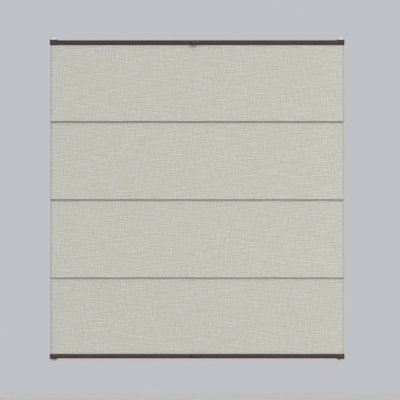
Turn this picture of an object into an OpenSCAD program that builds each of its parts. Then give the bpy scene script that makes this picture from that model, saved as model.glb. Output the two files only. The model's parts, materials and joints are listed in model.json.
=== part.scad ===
// Roman blind for a window sash, held by four clamps and two taut side cords.
// Both rails slide along the cords, and the linen hangs between them in four panels over three fold rods.
// X runs across the blind, Y runs into the sash and Z is up.
// The sash's face is the plane y = 0, and the origin is the middle of its top edge.

/* [Sash] */
// Height of the sash between its top and bottom edges
sash_h = 1100; // [700:5:1600]
// Thickness of the sash edge that the clamps take
sash_t = 18; // [12:0.5:24]

/* [Blind] */
// Width over the end caps
blind_w = 1000; // [500:5:1500]
// Distance from a cap's outer side to the cloth's edge
cloth_inset = 2; // [1:0.5:4]

/* [Cloth] */
// Thickness of the linen
cloth_t = 0.9; // [0.6:0.1:1.2]
// Upright length of the cloth below the upper rail, above its lean
lead_drop = 2; // [1:0.5:10]
// Height of a tuck's seam above its rod
seam_rise = 9; // [7:0.5:14]
// Radius of the cloth's turn at a tuck's seam
seam_turn_r = 0.75; // [0.65:0.05:0.9]
// Room between two layers of a tuck
layer_gap = 0.15; // [0.1:0.05:0.3]
// Length of a hem's tail behind the cloth, outside the rail
hem_tail = 7; // [4:0.5:14]
// Radius of the hem's turn from its tail to its strip
tail_turn_r = 1; // [0.8:0.1:1.2]
// Depth of a hem's share of the end panels inside the rails
hem_share = 5; // [3:0.5:7]

/* [Fold rods] */
// Diameter of a fold rod
rod_d = 3; // [2.5:0.25:3.5]
// Diameter of a rod's end tip
tip_d = 4.4; // [4.2:0.1:6]
// Length of a rod's end tip
tip_len = 2; // [1.8:0.1:4]
// Thickness of a tip's closed end
tip_floor = 1; // [0.6:0.1:1.4]

/* [Fold clips] */
// Width of the sewn-on tab
tab_w = 8; // [6:0.5:12]
// Height of the sewn-on tab
tab_h = 7; // [5:0.5:9]
// Thickness of the tab
tab_t = 1.2; // [0.8:0.1:1.6]
// Drop of the tab's lower edge below its rod's middle
tab_drop = 5; // [4:0.5:8]
// Radius of the tab's corners
tab_r = 1.5; // [0.5:0.25:2]
// Diameter of the tab's sewing holes
stitch_d = 1.4; // [1:0.1:1.6]
// Spacing of the tab's sewing holes
stitch_pitch = 5; // [4.5:0.25:8]
// Outer diameter of the cord ring
ring_d = 6.4; // [5:0.2:8]
// Thickness of the ring and its neck
ring_t = 2; // [1.4:0.1:3]
// Width of the neck between tab and ring
neck_w = 2.4; // [1.6:0.2:4]

/* [Rails] */
// Gap between a sash edge and its rail
rail_gap = 10; // [9.5:0.5:13]
// Gap between the sash face and the rails' backs
rail_stand = 6; // [5.5:0.5:12]
// Wall of the rail profile
rail_wall = 1.4; // [1:0.1:1.8]
// Web between the hem channel and the hollow above it
rail_web = 1.2; // [0.8:0.1:1.6]
// Height of the hollow on the sash side
hollow_h = 3.5; // [3:0.5:6]
// Width of the chamber for the crossing cords
cord_room = 4.4; // [4.2:0.2:6]
// Distance from the rail's front to the cloth
cloth_setback = 5.5; // [5:0.25:6.5]
// Height of the front bevel that faces the cloth
bevel_h = 3; // [2:0.2:4]
// Depth of the front bevel
bevel_d = 3; // [2:0.2:4]
// Radius of the front edge on the sash side
nose_r = 1.2; // [0.6:0.1:1.3]
// Distance of the front groove from the rail's sash side
groove_drop = 3.6; // [3:0.1:4]
// Width of the front groove
groove_w = 1.6; // [1:0.1:2]
// Depth of the front groove
groove_d = 1; // [0.6:0.1:1.2]
// Diameter of the strip inside a hem
strip_d = 4.5; // [3:0.25:6]
// Distance from the cloth's edge to the end of a hem strip
strip_inset = 3; // [1:0.5:10]
// Room at each side of the hem in the rail's slot
slot_room = 0.6; // [0.4:0.05:0.9]

/* [End caps] */
// Length of a cap along the rail
cap_w = 24.5; // [24:0.5:34]
// Height of a cap above its rail, towards the sash edge
cap_rise = 2.5; // [1.5:0.25:3.5]
// Step of a cap in front of the rail and behind it
cap_proud = 0.4; // [0:0.1:1]
// Bevel on a cap's outer corner and edges
cap_bevel = 2; // [1:0.25:3]
// Length of a cap's tongues inside the rail
tongue_len = 12; // [6:1:20]

/* [Handles] */
// Width of a handle
handle_w = 26; // [18:1:40]
// Reach of a handle in front of its rail
handle_out = 9.5; // [7:0.5:14]
// Handle's place along the rail, from its middle
handle_x = -6; // [-60:1:60]
// Thickness of a handle's back plate
handle_plate_t = 1.6; // [1.2:0.1:2.4]
// Height of a handle's back plate
handle_plate_h = 9.9; // [9:0.1:9.9]
// Thickness of a handle's lip at its nose
lip_nose_t = 6; // [4:0.2:7]
// Slant of a handle's lip towards the cloth
lip_slant = 1.2; // [0.4:0.1:2]
// Radius of a handle's outer corners
handle_corner_r = 4; // [2:0.5:6]

/* [Cords] */
// Diameter of the cords
cord_d = 1.2; // [0.8:0.1:1.4]
// Distance from a cap's outer side to the cord
cord_inset = 10; // [10:0.5:12]
// Spacing of the two crossing cords inside a rail
run_pitch = 2.4; // [2:0.1:3]
// Diameter of a cord bead
bead_d = 4; // [3:0.25:5]
// Height of a cord bead
bead_h = 3; // [2:0.25:4]
// Outer diameter of a cord bush
bush_d = 4.4; // [3.6:0.1:4.6]
// Length of a cord bush inside its cap
bush_len = 3; // [2:0.25:3]
// Diameter of a bush's flange
flange_d = 5.8; // [5:0.1:7]
// Thickness of a bush's flange
flange_t = 0.8; // [0.5:0.1:1.2]

/* [Clamp brackets] */
// Thickness of the bent steel
plate_t = 2.5; // [1.5:0.25:3]
// Width of the front plate
plate_w = 17; // [17:0.5:26]
// Drop of the front plate down the sash face
plate_drop = 31; // [28:0.5:42.5]
// Width of the hook over the sash edge
hook_w = 12; // [10:0.5:12]
// Radius of the plate's shoulders and lower corners
shoulder_r = 2.5; // [1.5:0.25:2.5]
// Drop of the hook's rear lip
lip_drop = 14; // [12.5:0.5:20]
// Radius of the rear lip's corners
lip_r = 3; // [1:0.25:4]
// Room behind the sash for the clamp screw
clamp_room = 5; // [3:0.5:10]
// Diameter of the clamp screw
clamp_d = 4; // [3:0.5:5]
// Distance of the clamp screw from the sash edge
clamp_drop = 7.5; // [6.5:0.25:8]
// Thread left between the lip and the screw's head
clamp_spare = 2; // [1:0.5:5]
// Diameter of the clamp screw's head
head_d = 7; // [6:0.5:9]
// Length of the clamp screw's head
head_h = 3.5; // [2.5:0.5:6]
// Width across the corners of the head's hexagon socket
socket_d = 3.5; // [2.5:0.25:5]
// Depth of the head's hexagon socket
socket_h = 2; // [1:0.25:2.25]
// Diameter of the clamp pad
pad_d = 8; // [6:0.5:9]
// Thickness of the clamp pad
pad_t = 1.6; // [1.2:0.1:3]
// Depth of the screw's seat in the pad
pad_seat = 0.8; // [0.4:0.1:1]

/* [Tension shoes] */
// Width of a shoe
shoe_w = 14; // [12:0.5:16]
// Distance of a shoe from its sash edge
shoe_drop = 8; // [7.5:0.25:9]
// Height of a shoe's block
shoe_h = 7.5; // [6:0.25:8.5]
// Shoe's block in front of the cord
shoe_nose = 3.5; // [3:0.25:4.5]
// Radius of a shoe's front corners
shoe_r = 3; // [1:0.25:4]
// Thickness of a shoe's fixing flange
foot_t = 2; // [1.6:0.1:2.4]
// Height of a shoe's fixing flange
foot_h = 11; // [9:0.5:12]
// Diameter of a shoe screw
pin_d = 2.9; // [2:0.1:3.5]
// Diameter of a shoe screw's sunk head
pin_head_d = 5.4; // [4.5:0.1:6.5]

/* [Clearances] */
// Gap around cloth and around a cord in a slot
gap = 0.3; // [0.2:0.05:0.5]
// Gap between pieces that are fitted together
fit = 0.05; // [0.02:0.01:0.1]
// Gap around a sliding cord in its holes
cord_gap = 0.4; // [0.3:0.05:0.6]
// Gap around a shoe in its cap
pocket_gap = 0.6; // [0.4:0.05:1]

/* [Hidden] */
$fn = 48;
cloth_w = blind_w - 2 * cloth_inset;
rail_x = blind_w / 2 - cap_w;
cord_x = blind_w / 2 - cord_inset;
// Hem: the strip, the cloth around it and the round channel that holds both
hem_r = strip_d / 2 + gap + cloth_t / 2;
channel_r = hem_r + cloth_t / 2 + gap;
tail_gap = cloth_t + gap;
slot_w = cloth_t + tail_gap + 2 * slot_room;
// Rail section in Y and Z, for the top rail
rail_d = cloth_setback + hem_r + channel_r + rail_wall + cord_room + rail_wall;
rail_h = rail_wall + hollow_h + rail_web + 2 * channel_r + rail_wall;
back_y = -rail_stand;
front_y = back_y - rail_d;
sash_side_z = -rail_gap;
cloth_side_z = sash_side_z - rail_h;
cloth_y = front_y + cloth_setback;
hem_y = cloth_y + hem_r;
hem_z = cloth_side_z + rail_wall + channel_r;
tail_y = cloth_y + tail_gap;
channel_top_z = hem_z + channel_r;
cord_room_y = back_y - rail_wall - cord_room;
cord_y = back_y - rail_wall - cord_room / 2;
cord_r = cord_d / 2;
groove_z = sash_side_z - groove_drop;
// Folds: the panels share the height between the hems
fold_n = 3;
panel_h = (sash_h + 2 * (cloth_side_z + hem_share)) / (fold_n + 1);
wrap_r = rod_d / 2 + gap + cloth_t / 2;
pass_r = wrap_r + cloth_t + layer_gap;
rod_y = cloth_y - pass_r;
lean = (wrap_r + pass_r) / panel_h;
seam_y = rod_y - wrap_r + lean * seam_rise + cloth_t + layer_gap + seam_turn_r;
rod_lift = wrap_r + cloth_t / 2;
function fold_z(k) = cloth_side_z + hem_share - k * panel_h;
function rod_z(k) = fold_z(k) + rod_lift;
tip_x = cloth_w / 2 + gap;
rod_len = 2 * (tip_x + tip_len - tip_floor);
// Caps, shoes and beads at a corner
cap_top_z = sash_side_z + cap_rise;
shoe_top_z = -shoe_drop;
shoe_floor_z = shoe_top_z - shoe_h;
shoe_front_y = cord_y - shoe_nose;
pocket_floor_z = shoe_floor_z - pocket_gap;
bead_seat_z = shoe_top_z - bead_h - gap;
pin_z = shoe_floor_z - foot_h / 2;
// Clamp
lip_y = sash_t + clamp_room;
hook_end_y = lip_y + plate_t;
pad_end_y = sash_t + pad_t;
head_y = hook_end_y + clamp_spare;
// Steps of the curved sections, and how far a cut runs past a face
arc_step = 15;
dish_n = 8;
dish_power = 2.4;
past = 1;

rail_brown = [0.36, 0.32, 0.29];
cap_brown = [0.31, 0.27, 0.24];
linen = [0.77, 0.76, 0.72];
bracket_white = [0.93, 0.93, 0.92];
shoe_white = [0.88, 0.88, 0.87];
cord_grey = [0.74, 0.73, 0.70];
steel = [0.70, 0.71, 0.72];
rod_white = [0.86, 0.85, 0.81];
clip_clear = [0.84, 0.85, 0.85];
pad_grey = [0.45, 0.45, 0.46];

// Placing: every end piece is drawn for the top right corner and mirrored from there

module flipped(axis, on) {
    if (on) mirror(axis) children();
    else children();
}

module at_end(bottom) {
    translate([0, 0, bottom ? -sash_h : 0]) flipped([0, 0, 1], bottom) children();
}

module at_corner(bottom, left) {
    at_end(bottom) flipped([1, 0, 0], left) children();
}

module at_corners() {
    for (bottom = [false, true]) {
        for (left = [false, true]) {
            at_corner(bottom, left) children();
        }
    }
}

module at_both_sides() {
    for (left = [false, true]) {
        flipped([1, 0, 0], left) children();
    }
}

// Extrudes a Y-Z section along X, from x0 to x1
module along_x(x0, x1) {
    translate([x0, 0, 0]) rotate([90, 0, 90]) linear_extrude(x1 - x0) children();
}

// Extrudes an X-Z outline along Y, from y0 to y1
module along_y(y0, y1) {
    translate([0, y1, 0]) rotate([90, 0, 0]) linear_extrude(y1 - y0) children();
}

module box(low, high) {
    translate(low) cube(high - low);
}

// Rectangle about the origin with round corners
module round_square(w, h, r) {
    square([w - 2 * r, h], center = true);
    square([w, h - 2 * r], center = true);
    for (x = [-1, 1]) {
        for (y = [-1, 1]) {
            translate([x * (w / 2 - r), y * (h / 2 - r)]) circle(r);
        }
    }
}

// Cylinder along Z, X or Y between two places on its axis
module rod_on_z(x, y, z0, z1, r) {
    translate([x, y, z0]) cylinder(h = z1 - z0, r = r);
}

module rod_on_x(x0, x1, y, z, r) {
    translate([x0, y, z]) rotate([0, 90, 0]) cylinder(h = x1 - x0, r = r);
}

module rod_on_y(x, y0, y1, z, r) {
    translate([x, y0, z]) rotate([-90, 0, 0]) cylinder(h = y1 - y0, r = r);
}

// Cloth: one sheet, drawn as the line of its section and thickened to both sides

function unit(v) = v / norm(v);
function turned(v) = [-v.y, v.x];
function arc(c, r, a0, a1) =
    let (n = ceil(abs(a1 - a0) / arc_step))
    [
        for (i = [0:n])
            let (a = a0 + (a1 - a0) * i / n)
            c + r * [cos(a), sin(a)]
    ];
function bearing(from, to) = atan2(to.y - from.y, to.x - from.x);
function shifted(line, i, d) =
    let (
        before = unit(line[max(i, 1)] - line[max(i, 1) - 1]),
        after = unit(line[min(i, len(line) - 2) + 1] - line[min(i, len(line) - 2)]),
        middle = unit(before + after)
    )
    line[i] + turned(middle) * d / (middle * before);
function thickened(line, t) = concat(
    [for (i = [0:len(line) - 1]) shifted(line, i, t / 2)],
    [for (i = [len(line) - 1:-1:0]) shifted(line, i, -t / 2)]
);

// A panel leans forward to its rod, wraps it from below and rises to the seam behind its own front.
// There it turns over and passes down behind the rod as the next panel.
function rod_at(k) = [rod_y, rod_z(k)];
function seam_at(k) = [seam_y, rod_z(k) + seam_rise];
lead = [cloth_y, cloth_side_z - lead_drop];
seam_span = norm(seam_at(1) - rod_at(1));
rise_angle = bearing(rod_at(1), seam_at(1));
wrap_end = 360 + rise_angle - acos((wrap_r + seam_turn_r) / seam_span);
seam_end = rise_angle - 180 + acos((seam_turn_r - pass_r) / seam_span);
pass_end = acos(lean) - 90;
function wrap_start(k) =
    k == 1
        ? bearing(rod_at(1), lead) + acos(wrap_r / norm(lead - rod_at(1)))
        : 180 + pass_end;
function tuck(k) = concat(
    k == 1 ? [lead] : [],
    arc(rod_at(k), wrap_r, wrap_start(k), wrap_end),
    arc(seam_at(k), seam_turn_r, wrap_end - 180, seam_end),
    arc(rod_at(k), pass_r, seam_end, k < fold_n ? pass_end : 0)
);
// A hem comes up behind the cloth, turns onto its strip and goes around it
hem_line = concat(
    [[tail_y, cloth_side_z - hem_tail]],
    arc([tail_y + tail_turn_r, hem_z - hem_r - tail_turn_r], tail_turn_r, 180, 90),
    arc([hem_y, hem_z], hem_r, -90, 180)
);
function other_end(line) = [
    for (i = [len(line) - 1:-1:0])
        [line[i].x, -sash_h - line[i].y]
];
cloth_line = concat(
    hem_line,
    [for (k = [1:fold_n]) each tuck(k)],
    other_end(hem_line)
);

module cloth() {
    color(linen) along_x(-cloth_w / 2, cloth_w / 2) polygon(thickened(cloth_line, cloth_t));
}

// Fold rods, their tips and the clips that keep them on the side cords

module fold_rod(k) {
    color(rod_white) rod_on_x(-rod_len / 2, rod_len / 2, rod_y, rod_z(k), rod_d / 2);
}

module rod_tips(k) {
    color(rod_white) at_both_sides() difference() {
        rod_on_x(tip_x, tip_x + tip_len, rod_y, rod_z(k), tip_d / 2);
        rod_on_x(tip_x - past, rod_len / 2, rod_y, rod_z(k), rod_d / 2 + fit);
    }
}

module fold_clips(k) {
    tab_y = cloth_y + cloth_t / 2 + gap;
    tab_z = rod_z(k) - tab_drop;
    ring_z = tab_z + (tab_h - ring_t) / 2;
    color(clip_clear) at_both_sides() difference() {
        union() {
            along_y(tab_y, tab_y + tab_t) translate([cord_x, tab_z + tab_h / 2])
                round_square(tab_w, tab_h, tab_r);
            box([cord_x - neck_w / 2, tab_y, ring_z], [cord_x + neck_w / 2, cord_y, ring_z + ring_t]);
            rod_on_z(cord_x, cord_y, ring_z, ring_z + ring_t, ring_d / 2);
        }
        rod_on_z(cord_x, cord_y, ring_z - past, ring_z + ring_t + past, cord_r + cord_gap);
        for (side = [-1, 1]) {
            rod_on_y(cord_x + side * stitch_pitch / 2, tab_y - past, tab_y + tab_t + past,
                tab_z + tab_h / 2, stitch_d / 2);
        }
    }
}

// Rails: one extrusion with a hem channel, a cord chamber and two lightening hollows

module rail_outline() {
    difference() {
        polygon([
            [back_y, sash_side_z],
            [front_y, sash_side_z],
            [front_y, cloth_side_z + bevel_h],
            [front_y + bevel_d, cloth_side_z],
            [back_y, cloth_side_z]
        ]);
        difference() {
            translate([front_y - past, sash_side_z - nose_r]) square(nose_r + past);
            translate([front_y + nose_r, sash_side_z - nose_r]) circle(nose_r);
        }
    }
}

// Round channel for the hem, with its slot towards the cloth
module hem_channel() {
    translate([hem_y, hem_z]) circle(channel_r);
    translate([cloth_y - cloth_t / 2 - slot_room, cloth_side_z - past])
        square([slot_w, hem_z - cloth_side_z + past]);
}

// Hollow in front of the hem channel, one wall behind the front and its bevel
module front_hollow() {
    near_y = front_y + rail_wall;
    far_y = hem_y - channel_r - rail_wall;
    low_z = cloth_side_z + bevel_h + rail_wall * (norm([bevel_d, bevel_h]) - bevel_h) / bevel_d;
    translate([near_y, low_z]) square([far_y - near_y, channel_top_z - low_z]);
}

module upper_hollow(shrink) {
    translate([front_y + groove_d + rail_wall + shrink, channel_top_z + rail_web + shrink])
        square([rail_d - groove_d - 2 * rail_wall - 2 * shrink, hollow_h - 2 * shrink]);
}

module cord_chamber(shrink) {
    translate([cord_room_y + shrink, cloth_side_z + rail_wall + shrink])
        square([cord_room - 2 * shrink, 2 * channel_r - 2 * shrink]);
}

module rail() {
    color(rail_brown) along_x(-rail_x, rail_x) difference() {
        rail_outline();
        hem_channel();
        front_hollow();
        upper_hollow(0);
        cord_chamber(0);
        translate([front_y - past, groove_z - groove_w / 2]) square([groove_d + past, groove_w]);
    }
}

module hem_strip() {
    strip_x = cloth_w / 2 - strip_inset;
    color(rod_white) rod_on_x(-strip_x, strip_x, hem_y, hem_z, strip_d / 2);
}

// End caps: a bevelled block with a pocket for the shoe, a cord hole and two tongues for the rail

module cap_block() {
    intersection() {
        along_x(rail_x, blind_w / 2) polygon([
            [back_y + cap_proud, cap_top_z],
            [front_y - cap_proud + nose_r, cap_top_z],
            [front_y - cap_proud, cap_top_z - nose_r],
            [front_y - cap_proud, cloth_side_z + bevel_h],
            [front_y - cap_proud + bevel_d, cloth_side_z],
            [back_y + cap_proud, cloth_side_z]
        ]);
        along_y(front_y - cap_proud - past, back_y + cap_proud + past) polygon([
            [rail_x, cap_top_z],
            [blind_w / 2 - cap_bevel, cap_top_z],
            [blind_w / 2, cap_top_z - cap_bevel],
            [blind_w / 2, cloth_side_z],
            [rail_x, cloth_side_z]
        ]);
    }
}

module cap_tongues() {
    along_x(rail_x - tongue_len, rail_x) {
        upper_hollow(fit);
        cord_chamber(fit);
    }
}

module shoe_pocket() {
    box([cord_x - shoe_w / 2 - pocket_gap, shoe_front_y - pocket_gap, pocket_floor_z],
        [cord_x + shoe_w / 2 + pocket_gap, back_y + cap_proud + past, cap_top_z + past]);
}

module crossing_slot() {
    half_y = cord_r + gap;
    half_z = run_pitch / 2 + cord_r + gap;
    box([rail_x - tongue_len - past, cord_y - half_y, hem_z - half_z],
        [cord_x, cord_y + half_y, hem_z + half_z]);
}

module cap() {
    color(cap_brown) difference() {
        union() {
            cap_block();
            cap_tongues();
        }
        shoe_pocket();
        crossing_slot();
        along_x(rail_x - past, cloth_w / 2 + gap) hem_channel();
        rod_on_z(cord_x, cord_y, cloth_side_z - past, pocket_floor_z + past, cord_r + 2 * cord_gap);
        rod_on_z(cord_x, cord_y, cloth_side_z - past, cloth_side_z + bush_len, bush_d / 2 + fit);
    }
}

module cord_bushes() {
    low_z = cloth_side_z - flange_t;
    high_z = cloth_side_z + bush_len;
    color(steel) at_both_sides() difference() {
        union() {
            rod_on_z(cord_x, cord_y, low_z, high_z, bush_d / 2);
            rod_on_z(cord_x, cord_y, low_z, cloth_side_z, flange_d / 2);
        }
        rod_on_z(cord_x, cord_y, low_z - past, high_z + past, cord_r + cord_gap);
    }
}

// The two cords that cross from end to end inside a rail
module crossing_cords() {
    end_x = cord_x - cord_r - cord_gap;
    color(cord_grey) for (side = [-1, 1]) {
        rod_on_x(-end_x, end_x, cord_y, hem_z + side * run_pitch / 2, cord_r);
    }
}

// Handles: a plate with a rib in the rail's groove and a blunt lip with a finger hollow

module handle_section() {
    plate_y = front_y - handle_plate_t;
    plate_top_z = groove_z + groove_w;
    plate_low_z = plate_top_z - handle_plate_h;
    nose_y = front_y - handle_out;
    nose_low_z = plate_low_z - lip_slant;
    nose_top_z = nose_low_z + lip_nose_t;
    dish = [
        for (i = [0:dish_n])
            let (s = i / dish_n)
            [nose_y + (plate_y - nose_y) * s, nose_top_z + (plate_top_z - nose_top_z) * pow(s, dish_power)]
    ];
    rib_y = front_y + groove_d - fit;
    rib_half = groove_w / 2 - fit;
    rib = [
        [front_y, groove_z + rib_half],
        [rib_y, groove_z + rib_half],
        [rib_y, groove_z - rib_half],
        [front_y, groove_z - rib_half]
    ];
    polygon(concat(
        dish,
        [[front_y, plate_top_z]],
        rib,
        [[front_y, plate_low_z], [plate_y, plate_low_z], [nose_y, nose_low_z]]
    ));
}

module handle_plan() {
    left_x = handle_x - handle_w / 2;
    right_x = handle_x + handle_w / 2;
    corner_y = front_y - handle_out + handle_corner_r;
    translate([left_x, corner_y]) square([handle_w, front_y + groove_d - corner_y]);
    translate([left_x + handle_corner_r, corner_y - handle_corner_r])
        square([handle_w - 2 * handle_corner_r, handle_corner_r]);
    for (x = [left_x + handle_corner_r, right_x - handle_corner_r]) {
        translate([x, corner_y]) circle(handle_corner_r);
    }
}

module handle() {
    color(cap_brown) intersection() {
        along_x(handle_x - handle_w / 2, handle_x + handle_w / 2) handle_section();
        translate([0, 0, cloth_side_z]) linear_extrude(rail_h) handle_plan();
    }
}

// Clamp brackets: a bent steel hook over the sash edge, with a screw and pad behind it

module plate_outline() {
    half_w = plate_w / 2;
    shoulder_x = half_w - shoulder_r;
    translate([-half_w, shoulder_r - plate_drop]) square([plate_w, plate_drop - 2 * shoulder_r]);
    translate([-shoulder_x, -plate_drop]) square([2 * shoulder_x, plate_drop]);
    translate([-hook_w / 2, -plate_drop / 2]) square([hook_w, plate_drop / 2]);
    for (x = [-shoulder_x, shoulder_x]) {
        translate([x, -shoulder_r]) circle(shoulder_r);
        translate([x, shoulder_r - plate_drop]) circle(shoulder_r);
    }
}

module lip_outline() {
    translate([-hook_w / 2, lip_r - lip_drop]) square([hook_w, lip_drop - lip_r]);
    translate([lip_r - hook_w / 2, -lip_drop]) square([hook_w - 2 * lip_r, lip_drop]);
    for (side = [-1, 1]) {
        translate([side * (hook_w / 2 - lip_r), lip_r - lip_drop]) circle(lip_r);
    }
}

// Section of the hook, with the steel's round bends over the sash edge
module hook_section() {
    square([lip_y, plate_t]);
    intersection() {
        circle(plate_t);
        translate([-plate_t, 0]) square(plate_t);
    }
    intersection() {
        translate([lip_y, 0]) circle(plate_t);
        translate([lip_y, 0]) square(plate_t);
    }
}

module bracket() {
    color(bracket_white) translate([cord_x, 0, 0]) difference() {
        union() {
            along_y(-plate_t, 0) plate_outline();
            along_x(-hook_w / 2, hook_w / 2) hook_section();
            along_y(lip_y, hook_end_y) lip_outline();
        }
        rod_on_y(0, lip_y - past, hook_end_y + past, -clamp_drop, clamp_d / 2 + fit);
        rod_on_y(0, -plate_t - past, past, pin_z, pin_d / 2 + fit);
    }
}

module clamp_screw() {
    tip_y = pad_end_y - pad_seat;
    head_end_y = head_y + head_h;
    difference() {
        union() {
            rod_on_y(cord_x, tip_y, head_y, -clamp_drop, clamp_d / 2);
            rod_on_y(cord_x, head_y, head_end_y, -clamp_drop, head_d / 2);
        }
        translate([cord_x, head_end_y - socket_h, -clamp_drop]) rotate([-90, 0, 0])
            cylinder(h = socket_h + past, d = socket_d, $fn = 6);
    }
}

module clamp_pad() {
    difference() {
        rod_on_y(cord_x, sash_t, pad_end_y, -clamp_drop, pad_d / 2);
        rod_on_y(cord_x, pad_end_y - pad_seat, pad_end_y + past, -clamp_drop, clamp_d / 2 + fit);
    }
}

module clamp_screws() {
    color(steel) at_corners() clamp_screw();
}

module clamp_pads() {
    color(pad_grey) at_corners() clamp_pad();
}

// Tension shoes: a block that holds the cord's bead, on a flange screwed to the bracket

module shoe_plan(low_x, high_x) {
    translate([low_x, shoe_front_y + shoe_r]) square([high_x - low_x, -plate_t - shoe_front_y - shoe_r]);
    translate([low_x + shoe_r, shoe_front_y]) square([high_x - low_x - 2 * shoe_r, shoe_r]);
    for (x = [low_x + shoe_r, high_x - shoe_r]) {
        translate([x, shoe_front_y + shoe_r]) circle(shoe_r);
    }
}

module shoe() {
    foot_end_z = shoe_floor_z - foot_h;
    foot_y = -plate_t - foot_t;
    low_x = cord_x - shoe_w / 2;
    high_x = cord_x + shoe_w / 2;
    color(shoe_white) difference() {
        union() {
            translate([0, 0, shoe_floor_z]) linear_extrude(shoe_h) shoe_plan(low_x, high_x);
            box([low_x, foot_y, foot_end_z], [high_x, -plate_t, shoe_floor_z]);
        }
        rod_on_z(cord_x, cord_y, shoe_floor_z - past, shoe_top_z + past, cord_r + cord_gap);
        rod_on_z(cord_x, cord_y, bead_seat_z, shoe_top_z + past, bead_d / 2 + gap);
        rod_on_y(cord_x, foot_y - past, -plate_t + past, pin_z, pin_d / 2 + fit);
        pin_head(fit);
    }
}

// Sunk head of a shoe screw, flush with the flange's front
module pin_head(grow) {
    sink = (pin_head_d - pin_d) / 2;
    translate([cord_x, -plate_t - foot_t, pin_z]) rotate([-90, 0, 0])
        cylinder(h = sink, r1 = pin_head_d / 2 + grow, r2 = pin_d / 2 + grow);
}

module shoe_screws() {
    color(steel) at_corners() {
        rod_on_y(cord_x, -plate_t - foot_t, 0, pin_z, pin_d / 2);
        pin_head(0);
    }
}

// Side cords: one taut line at each side, from bead to bead

module cord_beads() {
    color(shoe_white) at_corners() difference() {
        rod_on_z(cord_x, cord_y, bead_seat_z, bead_seat_z + bead_h, bead_d / 2);
        rod_on_z(cord_x, cord_y, bead_seat_z - past, bead_seat_z + bead_h + past, cord_r + fit);
    }
}

module side_cord(left) {
    end_z = bead_seat_z + bead_h;
    color(cord_grey) flipped([1, 0, 0], left)
        rod_on_z(cord_x, cord_y, -sash_h - end_z, end_z, cord_r);
}

at_corner(false, true) bracket();  // bracket_top_left
at_corner(false, false) bracket();  // bracket_top_right
at_corner(true, true) bracket();  // bracket_bottom_left
at_corner(true, false) bracket();  // bracket_bottom_right
clamp_screws();
clamp_pads();
at_corner(false, true) shoe();  // shoe_top_left
at_corner(false, false) shoe();  // shoe_top_right
at_corner(true, true) shoe();  // shoe_bottom_left
at_corner(true, false) shoe();  // shoe_bottom_right
shoe_screws();
cord_beads();
side_cord(true);  // side_cord_left
side_cord(false);  // side_cord_right
cloth();
fold_rod(1);  // fold_rod_1
fold_rod(2);  // fold_rod_2
fold_rod(3);  // fold_rod_3
rod_tips(1);  // rod_tips_1
rod_tips(2);  // rod_tips_2
rod_tips(3);  // rod_tips_3
fold_clips(1);  // fold_clips_1
fold_clips(2);  // fold_clips_2
fold_clips(3);  // fold_clips_3
at_end(false) rail();  // top_rail
at_corner(false, true) cap();  // top_cap_left
at_corner(false, false) cap();  // top_cap_right
at_end(false) handle();  // top_handle
at_end(false) hem_strip();  // top_hem_strip
at_end(false) cord_bushes();  // top_cord_bushes
at_end(false) crossing_cords();  // top_crossing_cords
at_end(true) rail();  // bottom_rail
at_corner(true, true) cap();  // bottom_cap_left
at_corner(true, false) cap();  // bottom_cap_right
at_end(true) handle();  // bottom_handle
at_end(true) hem_strip();  // bottom_hem_strip
at_end(true) cord_bushes();  // bottom_cord_bushes
at_end(true) crossing_cords();  // bottom_crossing_cords
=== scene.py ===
import json
import math
import bmesh
import bpy
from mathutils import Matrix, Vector


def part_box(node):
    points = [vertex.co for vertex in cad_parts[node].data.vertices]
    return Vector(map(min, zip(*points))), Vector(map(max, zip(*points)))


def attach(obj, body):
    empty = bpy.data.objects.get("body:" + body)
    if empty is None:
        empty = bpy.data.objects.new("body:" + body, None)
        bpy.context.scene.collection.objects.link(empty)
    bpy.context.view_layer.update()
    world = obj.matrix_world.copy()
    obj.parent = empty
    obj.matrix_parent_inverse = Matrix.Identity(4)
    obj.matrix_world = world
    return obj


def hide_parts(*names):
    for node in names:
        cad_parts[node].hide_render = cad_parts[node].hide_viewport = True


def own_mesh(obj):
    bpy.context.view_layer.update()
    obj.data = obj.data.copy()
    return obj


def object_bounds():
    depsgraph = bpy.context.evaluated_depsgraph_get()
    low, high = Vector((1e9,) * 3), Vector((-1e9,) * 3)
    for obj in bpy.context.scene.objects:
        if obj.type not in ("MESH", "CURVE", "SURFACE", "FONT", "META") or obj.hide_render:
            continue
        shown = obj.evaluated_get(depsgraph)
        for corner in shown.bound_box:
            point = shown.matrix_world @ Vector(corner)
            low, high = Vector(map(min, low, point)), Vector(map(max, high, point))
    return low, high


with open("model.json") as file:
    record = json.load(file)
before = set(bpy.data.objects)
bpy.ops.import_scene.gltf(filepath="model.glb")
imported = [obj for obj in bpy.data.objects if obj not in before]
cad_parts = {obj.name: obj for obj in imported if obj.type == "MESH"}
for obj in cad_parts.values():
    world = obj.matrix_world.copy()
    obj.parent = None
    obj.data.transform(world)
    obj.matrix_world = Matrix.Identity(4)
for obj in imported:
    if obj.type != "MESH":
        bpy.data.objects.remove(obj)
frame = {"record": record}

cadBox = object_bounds()
scene = bpy.context.scene
scene.view_settings.view_transform = "Standard"
mm = 0.001


def middle(node):
    low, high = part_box(node)
    return (Vector(low) + Vector(high)) / 2


def halfHeight(node):
    low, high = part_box(node)
    return (high[2] - low[2]) / 2


def smooth(value):
    value = min(max(value, 0.0), 1.0)
    return value * value * (3 - 2 * value)


# camera: level, straight on, a little to the right of the blind's middle
cameraSet = {
    "distance": 2.9,
    "imagePixels": 400,
    "pixelSize": 3.393 * mm,     # on the plane of the rails' fronts
    "aimX": 9.7 * mm,
    "aimZ": -552.2 * mm,
    "sensor": 36.0,
}


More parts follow.
